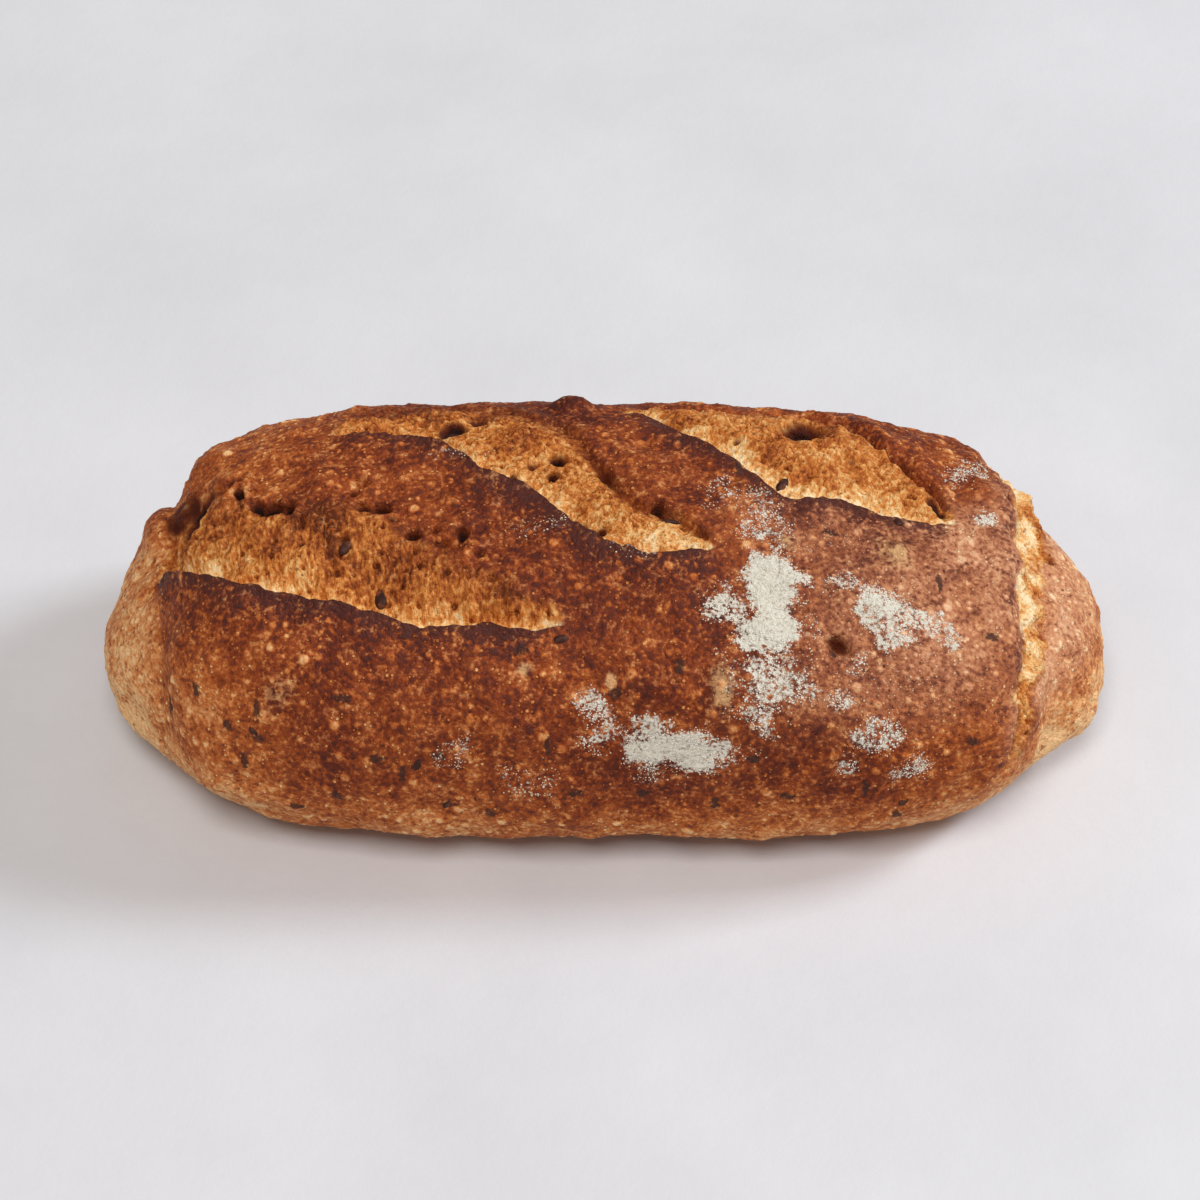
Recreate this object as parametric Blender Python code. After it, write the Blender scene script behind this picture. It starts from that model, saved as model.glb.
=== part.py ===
"""A seeded wholegrain loaf with round ends, three slanting cuts torn open across its top and a torn right end."""

import math

import bpy
import numpy as np
from mathutils import Matrix, Vector
from mathutils.bvhtree import BVHTree

# Sizes are in millimetres, and the finished mesh is turned to metres
MM = 0.001
LENGTH = 231.5
WIDTH = 110.0
HEIGHT = 66.8
BODY_LENGTH = 202.0
BODY_POWER = 4.5
BODY_POWER_BELOW_LEFT = 3.4
BODY_POWER_BELOW_RIGHT = 3.7
SHOULDER_BLEND = 0.06
END_POWER = 2.3
END_POWER_BELOW = 2.44
END_FULLNESS = 0.95
WAIST_HEIGHT = 27.0
WAIST_HEIGHT_AT_ENDS = 20.0
CROWN_POWER = 2.5
UNDERSIDE_POWER = 3.0
BASE_SINK = 1.5
BASE_ERROR = 0.05
RIGHT_DROP = 5.0
RIGHT_NARROWING = 3.0

# A cut's front lip and its back edge in plan, left to right, and its heights against the plain crown
CUTS = {
    "left": {
        "lip": (
            (-103, -4), (-91, -15), (-75, -24.7), (-63, -27.9), (-52, -31), (-40, -34.9), (-31, -34.6), (-22, -35.7),
            (-5, -34.4),
        ),
        "back": ((-103, -2), (-98, 16), (-84, 10), (-72, 5), (-57, 2), (-50, 0), (-41, -10), (-19, -25), (-5, -33.5)),
        "ear": 1.8, "drop": 4.0, "bulge": 1.0, "groove": 0.3, "step": 0.0, "fade": (4, 16),
    },
    "middle": {
        "lip": (
            (-66, 25), (-54, 24), (-39, 18.8), (-33, 14.6), (-28, 8.2), (-19, 3.8), (-10, -5), (-3, -13), (9, -17),
            (26, -15.5),
        ),
        "back": ((-66, 27), (-50, 37), (-17, 30), (-6, 21), (0, 8), (7, -1), (14, -5.5), (21, -11), (26, -15)),
        "ear": 1.5, "drop": 3.0, "bulge": 1.2, "groove": 1.8, "step": 0.8, "fade": (14, 6),
    },
    "right": {
        "lip": ((0, 35), (8, 33), (17, 24), (26, 17), (40, 1.5), (52, 2), (62, -1.5), (80, -2)),
        "back": ((0, 36), (14, 39.5), (32, 39.5), (47, 37), (57, 31), (67, 19.5), (75, 9.5), (80, -0.5)),
        "ear": 0.8, "drop": 1.6, "bulge": 1.4, "groove": 3.6, "step": 0.6, "fade": (12, 5),
    },
}
EAR_RUN = 6.5
WALL_RUN = 1.2
GROOVE_RUN = 2.8
STEP_RUN = 6.0

# The tear round the right end: its middle line's x at each y, its width and depth, and the crease below it
TEAR_LINE = ((-56, 89), (-46, 91), (-30, 95), (-10, 96), (10, 95.5), (30, 92), (56, 86))
TEAR_WIDTH = 3.4
TEAR_DEPTH = 2.6
TEAR_FRONT_LIFT = 1.6
TEAR_LOWEST = 22.0

# Hollows in plan: x, y, half length, half width, turn in degrees, depth
HOLLOWS = (
    (-95.5, 7.5, 9.5, 4.2, 68, 3.6),
    (-82, 6.5, 4.2, 1.8, 2, 2.6),
    (-88, 10.5, 2.0, 2.0, 0, 2.4),
    (-57, 6.0, 3.2, 1.8, 0, 2.6),
    (-34, -14, 2.6, 1.6, -20, 2.2),
    (45, 25, 4.2, 2.8, -18, 3.0),
    (50, -38, 3.4, 2.4, -25, 1.6),
)
# Bumps: x, y, half length, half width, turn in degrees, height
BUMPS = (
    (-8, 36, 5.0, 3.0, 0, 3.2),
    (25, -46, 4.0, 5.0, 0, 0.9),
    (65, -13.5, 4.2, 3.6, 0, 1.1),
    (40, -13, 2.6, 2.4, 0, 0.8),
    (30, 27, 12.0, 6.0, -30, 0.8),
    (5, 10, 14.0, 7.0, -45, 1.2),
    (-103, 15, 4.2, 9.0, 0, 3.0),
    (-91, 26, 6.5, 9.0, 0, 1.4),
    (95, 21, 5.0, 10.0, 0, 2.2),
)
LUMP_HEIGHT = 0.5
LUMP_SIZES = (38.0, 19.0, 9.0)

# Linseeds in the crust: those that show plainly, by place, and more spread over the rest of the loaf
SEED_LENGTH = 4.9
SEED_WIDTH = 2.6
SEED_THICKNESS = 1.9
SEED_PROUD = 0.1
SEEDS_SEEN = (
    (-57, -16, 62), (-50, -29, 62), (-106, 2, 43), (-35, 22, 66), (40, 6, 67), (50, -38, 58), (66, -2, 63),
    (-9, -38, 61), (-24, -53, 44), (-41, -54, 38), (-29, -55, 28), (-4, -55, 24), (-69, -39, 57),
    (-82, -47, 39), (-73, -52, 30), (-64, -51, 42), (32, -54, 39), (48, -55, 25), (67, -53, 25),
)
SEEDS_SPREAD = 40
SEED_GAP = 13.0
RANDOM_SEED = 11

# The grid that the form is worked out on, and the share of its triangles that is kept
ROWS = 300
COLUMNS = 360
LOAF_TRIANGLES = 8300
SEED_RINGS = 4
SEED_SIDES = 6


def smooth_step(t):
    """0 below 0, 1 above 1, and an S between them."""
    t = np.clip(t, 0, 1)
    return t * t * (3 - 2 * t)


def smooth_curve(points, x):
    """The height at x of a curve through the points: a cubic between each two, with its neighbours' slopes."""
    px, py = np.array(points, float).T
    slope = np.gradient(py, px)
    i = np.clip(np.searchsorted(px, x) - 1, 0, len(px) - 2)
    width = px[i + 1] - px[i]
    t = np.clip((x - px[i]) / width, 0, 1)
    start = (1 + 2 * t) * (1 - t) ** 2 * py[i] + t * (1 - t) ** 2 * width * slope[i]
    end = t * t * (3 - 2 * t) * py[i + 1] - t * t * (1 - t) * width * slope[i + 1]
    return start + end


def rounded_end(x, length, power):
    """The half height of a superellipse of this length and half height 1."""
    return np.maximum(1 - np.abs(2 * x / length) ** power, 0) ** (1 / power)


def taper(x, body_power, end_power):
    """The cross section's share of its full size at x: the body, and the round ends that swell out of it."""
    body = rounded_end(x, BODY_LENGTH, body_power)
    ends = END_FULLNESS * rounded_end(x, LENGTH, end_power)
    blend = np.maximum(1 - np.abs(body - ends) / SHOULDER_BLEND, 0) ** 2 * SHOULDER_BLEND / 4
    return np.maximum(body, ends) + blend


def plain_form(rows, columns):
    """The loaf without its relief: a superellipse section, flatter below its waist, carried along X and tapered."""
    x = np.sin(np.linspace(-math.pi / 2, math.pi / 2, rows)) * LENGTH / 2
    turn = np.linspace(0, 2 * math.pi, columns, endpoint=False)
    power = np.where(np.sin(turn) >= 0, CROWN_POWER, UNDERSIDE_POWER)
    reach = (np.abs(np.cos(turn)) ** power + np.abs(np.sin(turn)) ** power) ** (-1 / power)
    across, up = np.cos(turn) * reach, np.sin(turn) * reach
    size = taper(x, BODY_POWER, END_POWER)[:, None]
    power_below = np.where(x < 0, BODY_POWER_BELOW_LEFT, BODY_POWER_BELOW_RIGHT)
    lower = smooth_step(-2 * up)
    breadth = (1 - lower) * size + lower * taper(x, power_below, END_POWER_BELOW)[:, None]
    waist = (WAIST_HEIGHT - (WAIST_HEIGHT - WAIST_HEIGHT_AT_ENDS) * np.abs(2 * x / LENGTH) ** 3)[:, None]
    top = (HEIGHT - RIGHT_DROP * smooth_step((x - 10) / 100))[:, None]
    narrowing = RIGHT_NARROWING * smooth_step((x - 20) / 90)[:, None] * np.maximum(across, 0)
    y = breadth * across * WIDTH / 2 - narrowing
    above = waist + up * (top - waist) * size
    below = waist + up * waist * np.sqrt(size)
    below = (below - BASE_SINK) * waist / (waist - BASE_SINK)
    z = np.where(up >= 0, above, below)
    return np.stack([np.repeat(x[:, None], columns, 1), y, np.maximum(z, 0)], -1)


def outward(points):
    """Unit normals of the grid, from the cross product of its two directions."""
    along = np.gradient(points, axis=0)
    around = np.roll(points, -1, 1) - np.roll(points, 1, 1)
    normal = np.cross(around, along)
    size = np.linalg.norm(normal, axis=-1, keepdims=True)
    normal = normal / np.maximum(size, 1e-9)
    normal[0] = (-1, 0, 0)
    normal[-1] = (1, 0, 0)
    return normal


def cut_relief(points, cut):
    """The crust rises to an ear, drops to the torn floor, and the floor climbs to a groove before the next crust."""
    x, y = points[..., 0], points[..., 1]
    first, last = cut["lip"][0][0], cut["lip"][-1][0]
    lip = smooth_curve(cut["lip"], x)
    back = np.maximum(smooth_curve(cut["back"], x), lip + 0.5)
    slope = smooth_curve(cut["lip"], x + 0.5) - smooth_curve(cut["lip"], x - 0.5)
    behind_lip = (y - lip) / np.sqrt(1 + slope**2)
    behind_back = (y - back) / np.sqrt(1 + slope**2)
    share = np.clip((y - lip) / (back - lip), 0, 1)
    fade = smooth_step((x - first) / cut["fade"][0]) * smooth_step((last - x) / cut["fade"][1])
    fade = fade * smooth_step((back - lip) / 5)
    ear = cut["ear"] * np.exp(np.minimum(behind_lip, 0) / EAR_RUN) * (behind_lip < 0)
    floor = cut["bulge"] * np.sin(math.pi * share) - cut["drop"] * (1 - share) ** 1.4
    wall = np.clip(behind_lip / WALL_RUN, 0, 1)
    floor = (wall * floor + (1 - wall) * cut["ear"]) * (behind_lip >= 0) * (behind_back < 0)
    to_right = smooth_step((x - first) / (last - first))
    groove = -cut["groove"] * to_right * np.exp(-(((behind_back + 1) / GROOVE_RUN) ** 2)) * (behind_lip > 0)
    step = cut["step"] * np.exp(-np.maximum(behind_back, 0) / STEP_RUN) * smooth_step(behind_back / 1.5)
    return (ear + floor + groove + step) * fade


def end_tear_relief(points):
    """A groove round the right end, wide on top and closing to a crease on the front, with the crust lifted before it."""
    x, y, z = np.moveaxis(points, -1, 0)
    beyond = x - smooth_curve(TEAR_LINE, y)
    width = TEAR_WIDTH * (0.45 + 0.55 * smooth_step((z - 32) / 12))
    groove = -TEAR_DEPTH * np.exp(-((beyond / width) ** 2))
    lift = TEAR_FRONT_LIFT * np.exp(-(((beyond + 2 * width) / 5) ** 2))
    return (groove + lift) * smooth_step((z - TEAR_LOWEST) / 14)


def spot(points, x, y, half_length, half_width, turn):
    """1 at the middle of an oval in plan, falling away to its edge as a bell, on the crown only."""
    c, s = math.cos(math.radians(turn)), math.sin(math.radians(turn))
    dx, dy = points[..., 0] - x, points[..., 1] - y
    along, across = (dx * c + dy * s) / half_length, (dy * c - dx * s) / half_width
    crown = smooth_step((points[..., 2] - WAIST_HEIGHT) / 10)
    return np.exp(-1.4 * (along**2 + across**2) ** 1.5) * crown


def lumps(points, draw):
    """The dough's unevenness: plane waves of three sizes, each in a few drawn directions."""
    height = np.zeros(points.shape[:-1])
    for size in LUMP_SIZES:
        for _ in range(7):
            direction = draw.normal(size=3)
            direction *= 2 * math.pi / (size * draw.uniform(0.8, 1.3) * np.linalg.norm(direction))
            phase = draw.uniform(0, 2 * math.pi)
            height += LUMP_HEIGHT * math.sqrt(size / LUMP_SIZES[0]) / 2.6 * np.sin(points @ direction + phase)
    return height


def loaf_points(draw):
    """The plain form pushed along its normals by the whole relief, which dies out towards the flat base."""
    plain = plain_form(ROWS, COLUMNS)
    relief = lumps(plain, draw)
    for cut in CUTS.values():
        relief += cut_relief(plain, cut) * (plain[..., 2] > WAIST_HEIGHT)
    relief += end_tear_relief(plain)
    for *place, depth in HOLLOWS:
        relief -= depth * spot(plain, *place)
    for *place, height in BUMPS:
        relief += height * spot(plain, *place)
    relief *= smooth_step(plain[..., 2] / 12)
    points = plain + outward(plain) * relief[..., None]
    points[0] = points[0].mean(axis=0)
    points[-1] = points[-1].mean(axis=0)
    return points


def grid_faces(rows, columns):
    """Quads between the grid's inner rows, and a fan of triangles to the point at each end."""
    ring = np.arange(columns)
    after = np.roll(ring, -1)
    starts = 1 + columns * np.arange(rows - 3)[:, None]
    quads = np.stack([starts + ring, starts + after, starts + columns + after, starts + columns + ring], -1)
    last_ring = 1 + columns * (rows - 3)
    end_point = 1 + columns * (rows - 2)
    first_fan = [(0, 1 + b, 1 + a) for a, b in zip(ring, after)]
    last_fan = [(end_point, last_ring + a, last_ring + b) for a, b in zip(ring, after)]
    return quads.reshape(-1, 4).tolist() + first_fan + last_fan


def closed_mesh(name, points):
    """A closed mesh of the grid, whose first and last rows are single points, in metres."""
    rows, columns = points.shape[:2]
    corners = np.concatenate([points[0, :1], points[1:-1].reshape(-1, 3), points[-1, :1]]) * MM
    mesh = bpy.data.meshes.new(name)
    mesh.from_pydata(corners.tolist(), [], grid_faces(rows, columns))
    mesh.update()
    return mesh


def apply_modifiers(obj):
    """Puts the modified mesh in the object's place for its mesh, and takes the modifiers away."""
    bpy.context.view_layer.update()
    finished = obj.evaluated_get(bpy.context.evaluated_depsgraph_get())
    mesh = bpy.data.meshes.new_from_object(finished)
    obj.modifiers.clear()
    obj.data = mesh


def make_loaf(draw):
    """The loaf's body with few triangles, and its base flat at zero height."""
    mesh = closed_mesh("loaf", loaf_points(draw))
    loaf = bpy.data.objects.new("loaf", mesh)
    bpy.context.scene.collection.objects.link(loaf)
    fewer = loaf.modifiers.new("fewer faces", "DECIMATE")
    fewer.ratio = LOAF_TRIANGLES / (2 * COLUMNS * (ROWS - 2))
    apply_modifiers(loaf)
    corners = np.array([vertex.co for vertex in loaf.data.vertices])
    corners[corners[:, 2] < BASE_ERROR * MM, 2] = 0
    loaf.data.vertices.foreach_set("co", corners.ravel())
    loaf.data.update()
    return loaf


def seed_mesh():
    """A linseed: an oval turned about its length, drawn to a point at one end, and flattened."""
    along = -np.cos(np.linspace(0, math.pi, SEED_RINGS + 1))
    fat = np.sqrt(np.maximum(1 - along**2, 0)) * (1 - 0.25 * along)
    turn = np.linspace(0, 2 * math.pi, SEED_SIDES, endpoint=False)
    x = np.repeat(along[:, None], SEED_SIDES, 1) * SEED_LENGTH / 2
    y = fat[:, None] * np.cos(turn) * SEED_WIDTH / 2
    z = fat[:, None] * np.sin(turn) * SEED_THICKNESS / 2
    return closed_mesh("linseed", np.stack([x, y, z], -1))


def seed_places(surface, draw):
    """Where the seeds lie: the places seen, then drawn places on the loaf, each clear of all before it."""
    places = [surface.find_nearest(Vector(place) * MM)[:2] for place in SEEDS_SEEN]
    while len(places) < len(SEEDS_SEEN) + SEEDS_SPREAD:
        x = draw.uniform(-0.46, 0.46) * LENGTH
        turn = draw.uniform(0, 2 * math.pi)
        start = Vector((x, WIDTH * math.cos(turn), WAIST_HEIGHT + HEIGHT * math.sin(turn)))
        middle = Vector((x, 0, WAIST_HEIGHT))
        place, normal = surface.ray_cast(start * MM, middle - start)[:2]
        if place is None or place.z < 8 * MM:
            continue
        if min((place - other).length for other, _ in places) > SEED_GAP * MM:
            places.append((place, normal))
    return places


def add_seeds(loaf, draw):
    """Linseeds sunk in the crust at their places, each lying flat and turned at random, fused to the loaf."""
    surface = BVHTree.FromObject(loaf, bpy.context.evaluated_depsgraph_get())
    mesh = seed_mesh()
    seeds = bpy.data.collections.new("linseeds")
    bpy.context.scene.collection.children.link(seeds)
    for place, normal in seed_places(surface, draw):
        seed = bpy.data.objects.new("linseed", mesh)
        upright = normal.to_track_quat("Z", "Y").to_matrix().to_4x4()
        turned = Matrix.Rotation(draw.uniform(0, 2 * math.pi), 4, "Z")
        sized = Matrix.Scale(draw.uniform(0.88, 1.12), 4)
        seed.matrix_world = Matrix.Translation(place + normal * SEED_PROUD * MM) @ upright @ turned @ sized
        seeds.objects.link(seed)
    fuse = loaf.modifiers.new("linseeds", "BOOLEAN")
    fuse.operation = "UNION"
    fuse.operand_type = "COLLECTION"
    fuse.collection = seeds
    fuse.solver = "MANIFOLD"
    apply_modifiers(loaf)
    for seed in list(seeds.objects):
        bpy.data.objects.remove(seed)
    bpy.data.collections.remove(seeds)


def centre_on_origin(loaf):
    """Moves the mesh so that the middle of its box in plan is over the origin."""
    corners = np.array([vertex.co for vertex in loaf.data.vertices])
    middle = (corners.min(axis=0) + corners.max(axis=0)) / 2
    loaf.data.transform(Matrix.Translation((-middle[0], -middle[1], 0)))


def crust_material():
    """Baked crust: a matt red-brown."""
    material = bpy.data.materials.new("crust")
    material.use_nodes = True
    shader = material.node_tree.nodes["Principled BSDF"]
    shader.inputs["Base Color"].default_value = (0.28, 0.085, 0.03, 1)
    shader.inputs["Roughness"].default_value = 0.6
    shader.inputs["Metallic"].default_value = 0.0
    material.diffuse_color = (0.28, 0.085, 0.03, 1)
    return material


def main():
    for obj in list(bpy.data.objects):
        bpy.data.objects.remove(obj)
    draw = np.random.default_rng(RANDOM_SEED)
    loaf = make_loaf(draw)
    add_seeds(loaf, draw)
    centre_on_origin(loaf)
    loaf.data.materials.clear()
    loaf.data.materials.append(crust_material())
    loaf.data.shade_smooth()
    loaf.data.set_sharp_from_angle(angle=math.radians(40))


main()
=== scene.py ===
"""A seeded wholegrain loaf with round ends, three torn cuts across its crown and a torn right end."""

import math

import bpy
import numpy as np
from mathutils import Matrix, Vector


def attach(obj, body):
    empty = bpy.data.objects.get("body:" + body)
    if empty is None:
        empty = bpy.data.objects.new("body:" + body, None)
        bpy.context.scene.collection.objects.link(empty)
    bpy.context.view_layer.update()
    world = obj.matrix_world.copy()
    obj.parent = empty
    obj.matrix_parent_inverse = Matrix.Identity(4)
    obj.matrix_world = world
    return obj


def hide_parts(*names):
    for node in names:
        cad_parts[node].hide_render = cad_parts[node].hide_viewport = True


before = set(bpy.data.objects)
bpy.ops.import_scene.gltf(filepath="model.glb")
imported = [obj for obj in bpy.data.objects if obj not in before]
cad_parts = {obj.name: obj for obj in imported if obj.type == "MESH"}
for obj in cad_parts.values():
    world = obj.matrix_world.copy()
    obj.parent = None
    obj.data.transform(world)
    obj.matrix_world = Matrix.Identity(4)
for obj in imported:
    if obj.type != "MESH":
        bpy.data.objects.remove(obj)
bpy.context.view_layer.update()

# Sizes are in millimetres; finished meshes are in metres
MM = 0.001
LENGTH = 231.5
WIDTH = 110.0
HEIGHT = 66.8
BODY_LENGTH = 202.0
BODY_POWER = 4.5
BODY_POWER_BELOW_LEFT = 3.4
BODY_POWER_BELOW_RIGHT = 3.7
SHOULDER_BLEND = 0.06
END_POWER = 2.3
END_POWER_BELOW = 2.44
END_FULLNESS = 0.95
WAIST_HEIGHT = 27.0
WAIST_HEIGHT_AT_ENDS = 20.0
CROWN_POWER = 2.5
UNDERSIDE_POWER = 3.0
BASE_SINK = 1.5
RIGHT_DROP = 5.0
RIGHT_NARROWING = 3.0

# A cut's lip and back edge in plan, its form in mm, and the mm it takes to open at each end; then its crumb:
# the strands' angle and shortness, the browning backwards, the mm past the back edge, the share of the way on
# which it turns to crust, how brown it is, and how much browner at its left
CUTS = {
    "left": {
        "lip": (
            (-103, -4), (-91, -15), (-75, -24.7), (-63, -27.9), (-52, -31), (-40, -34.9), (-31, -34.6),
            (-22, -35.7), (-5, -34.4),
        ),
        "back": (
            (-103, -2), (-98, 16), (-84, 10), (-72, 5), (-57, 2), (-50, 0), (-41, -10), (-19, -25),
            (-5, -33.5),
        ),
        "ear": 1.8, "drop": 4.0, "bulge": 1.0, "groove": 0.3, "step": 0.0, "fade": (4, 16),
        "strands": 88, "shortness": 1.3,
        "browning": 0.33, "beyond": 0.0, "blend": 0.36, "toast": 0.53, "start": 0.0,
    },
    "middle": {
        "lip": (
            (-66, 25), (-54, 24), (-39, 18.8), (-33, 14.6), (-28, 8.2), (-19, 3.8), (-10, -5), (-3, -13),
            (9, -17), (26, -15.5),
        ),
        "back": (
            (-66, 27), (-50, 37), (-17, 30), (-6, 21), (0, 8), (7, -1), (14, -5.5), (21, -11), (26, -15),
        ),
        "ear": 1.5, "drop": 3.0, "bulge": 1.2, "groove": 1.8, "step": 0.8, "fade": (14, 6),
        "strands": 62, "shortness": 2.4,
        "browning": 0.16, "beyond": 4.0, "blend": 0.3, "toast": 0.5, "start": 0.22,
    },
    "right": {
        "lip": ((0, 35), (8, 33), (17, 24), (26, 17), (40, 1.5), (52, 2), (62, -1.5), (80, -2)),
        "back": ((0, 36), (14, 39.5), (32, 39.5), (47, 37), (57, 31), (67, 19.5), (75, 9.5), (80, -0.5)),
        "ear": 0.8, "drop": 1.6, "bulge": 1.4, "groove": 3.6, "step": 0.6, "fade": (12, 5),
        "strands": 70, "shortness": 2.0,
        "browning": 0.12, "beyond": 1.0, "blend": 0.12, "toast": 0.48, "start": 0.14,
    },
}
# How many mm each part of a cut takes, and its burnt edge
EAR_RUN = 6.5
WALL_RUN = 1.2
GROOVE_RUN = 2.8
STEP_RUN = 6.0
BURNT_BAND = 4.4

# The tear round the right end: its middle line's x at each y, its width, its depth, and how low it runs
TEAR_LINE = ((-56, 89), (-46, 91), (-30, 95), (-10, 96), (10, 95.5), (30, 92), (56, 86))
TEAR_WIDTH = 3.4
TEAR_DEPTH = 2.6
TEAR_FRONT_LIFT = 1.6
TEAR_LOWEST = 22.0

# Hollows in plan: x, y, half length, half width, turn in degrees, depth
HOLLOWS = (
    (-95.5, 7.5, 9.5, 4.2, 68, 3.6), (-82, 6.5, 4.2, 1.8, 2, 2.6), (-88, 10.5, 2, 2, 0, 2.4),
    (-57, 6, 3.2, 1.8, 0, 2.6), (-34, -14, 2.6, 1.6, -20, 2.2), (45, 25, 4.2, 2.8, -18, 3),
    (50, -38, 3.4, 2.4, -25, 1.6),
)
# Bumps: x, y, half length, half width, turn in degrees, height
BUMPS = (
    (-8, 36, 5, 3, 0, 3.2), (25, -46, 4, 5, 0, 0.9), (65, -13.5, 4.2, 3.6, 0, 1.1),
    (40, -13, 2.6, 2.4, 0, 0.8), (30, 27, 12, 6, -30, 0.8), (5, 10, 14, 7, -45, 1.2),
    (-103, 15, 4.2, 9, 0, 3), (-91, 26, 6.5, 9, 0, 1.4), (95, 21, 5, 10, 0, 2.2),
)
LUMP_HEIGHT = 0.5
LUMP_SIZES = (38.0, 19.0, 9.0)
# Round blisters: mm from one to the next, how high they are, and the share of places left bare
BLISTERS = ((3.3, 0.28, 0.4), (2.1, 0.22, 0.15), (1.5, 0.15, 0.1))
RANDOM_SEED = 11

# Bubbles that burst in the torn crumb: x, y, half length, half width, turn, depth
HOLES = (
    (-94, 5, 7.5, 3, 60, 1.6), (-86, 12, 1.1, 1.2, 0, 1.8), (-84, 12.5, 0.9, 1, 0, 1.6),
    (-84, 8.5, 1.3, 1.7, 0, 2.4), (-79, 1.5, 1.7, 2.2, 0, 2.6), (-75.5, 0, 3.4, 2.6, -8, 2.8),
    (-71.5, -0.5, 1.6, 2.4, 0, 2.8), (-57, 3, 1, 1.2, 0, 1.6), (-54.5, -2, 2, 1.3, 0, 2),
    (-50.5, -2.4, 2.5, 2.1, 10, 3), (-48, -6, 1.5, 1, -30, 1.4), (-58.5, -12, 2.2, 1.2, 10, 1.2),
    (-43, -11, 1.9, 1.5, 0, 2.4), (-38, -10, 1, 0.9, 0, 1.4), (-32, -11, 1.5, 2.3, 0, 2.2),
    (-28, -17, 1.4, 1.1, 0, 1.5), (-37, -13.5, 2.2, 1, 12, 1.4), (-68, -6, 1, 2, 10, 1.3),
    (-60, -20, 1.5, 1, 0, 1.1), (-25, -24, 1.3, 1, 0, 1.1), (-35.5, 25.4, 3.4, 2, 0, 1.8),
    (-29, 29, 3, 2.4, 0, 1.6), (-11, 13, 1.6, 2.3, 60, 2.4), (-12, 8.5, 1.6, 1.6, 0, 2.2),
    (-17, 12, 1.5, 1.1, 20, 1.5), (-21, 8.5, 1, 1.4, 0, 1.8), (-1, -9, 1.1, 1.6, 70, 1.7),
    (-6, -7, 2.6, 1.6, 0, 1.3), (11.5, -3, 1.6, 1.8, 0, 2), (0, 8, 3.4, 1.8, -58, 1.4),
    (45, 25.5, 5, 4.2, -18, 2.4), (36, 27, 1.8, 1.1, 0, 1.2), (75, 3.5, 3.6, 1.7, -50, 2.2),
    (30, 21, 1.1, 1, 0, 1.2), (56, 15, 1.1, 1, 0, 1.1), (92, 12, 1, 1.6, 0, 1.8),
    (93.5, -4, 0.9, 1.6, 0, 1.5), (94, -27, 1, 2.8, 0, 1.4), (51, -37, 3.2, 2, -25, 1.5),
)

# Painted shade where the dough lies deep in a fold: x, y, half length, half width, turn, how dark
PAINTED_FOLD_SHADE = (
    (-94.2, 5.5, 8.5, 3.8, 62, 1.3), (-97.5, 11.5, 6, 3.2, 76, 0.95), (-92, 10, 4, 2.6, 60, 0.9),
    (1, 6, 5, 2.8, -58, 0.5), (13, -4.5, 6, 2.2, -38, 0.5), (-29, 30, 4, 3, 0, 0.5),
    (45, 25.5, 4.8, 4.6, -18, 1.35), (22, -11, 3.6, 1.8, -30, 0.5), (-35.5, 25.6, 3.8, 2, 0, 1.3),
)

# Creases: from x, y, z to x, y, z, half width, depth
CREASES = (
    ((92, -34, 47), (90.5, -45, 30), 0.9, 1.4), ((-18, 30, 65), (-8, 25, 66), 0.8, 1),
    ((102, 11, 43), (109, 6, 37), 0.5, 0.8), ((103, 7, 43), (107, 3, 40), 0.4, 0.6),
    ((-79, -43, 51), (-74, -46, 46), 0.5, 0.5),
)

# Seeds that show as dark blurs through the skin: x, y, z
BURIED = (
    (-30, 29, 64), (-19, -40, 59), (-45, -54, 35), (-35, -55, 25), (-26, -55, 23), (-84, -46, 41),
    (-77, -49, 40), (-80, -49, 33), (-60, -54, 27), (-69, -52, 21), (-77, -46, 46), (-50, -53, 39),
    (16, -43, 57), (65, -53, 21), (-37, -54, 40), (-13, -53, 42), (-7, -55, 30), (8, -55, 29),
    (24, -55, 26), (40, -55, 28), (57, -54, 30), (2, -48, 53), (80, -47, 38), (-96, -33, 34),
    (-58, -46, 50), (-90, -38, 45), (30, 10, 68), (50, -9, 66), (74, -20, 61), (84, -30, 52),
)

# Kernels just under the crust that show pale through it: x, y, half length, half width, turn, strength
KERNELS = (
    (25, -46, 2.8, 4.4, 0, 0.9), (64.8, -15, 3.2, 3.2, 20, 1), (63.6, -13.2, 6.2, 5, 20, 0.5),
    (40, -13, 2.4, 2.4, 0, 0.8), (1, -45, 1.4, 1.8, 0, 1), (-18, -43, 1.7, 1.4, 0, 1),
    (-72, -44.5, 4.6, 2.6, 20, 0.5),
)

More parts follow.
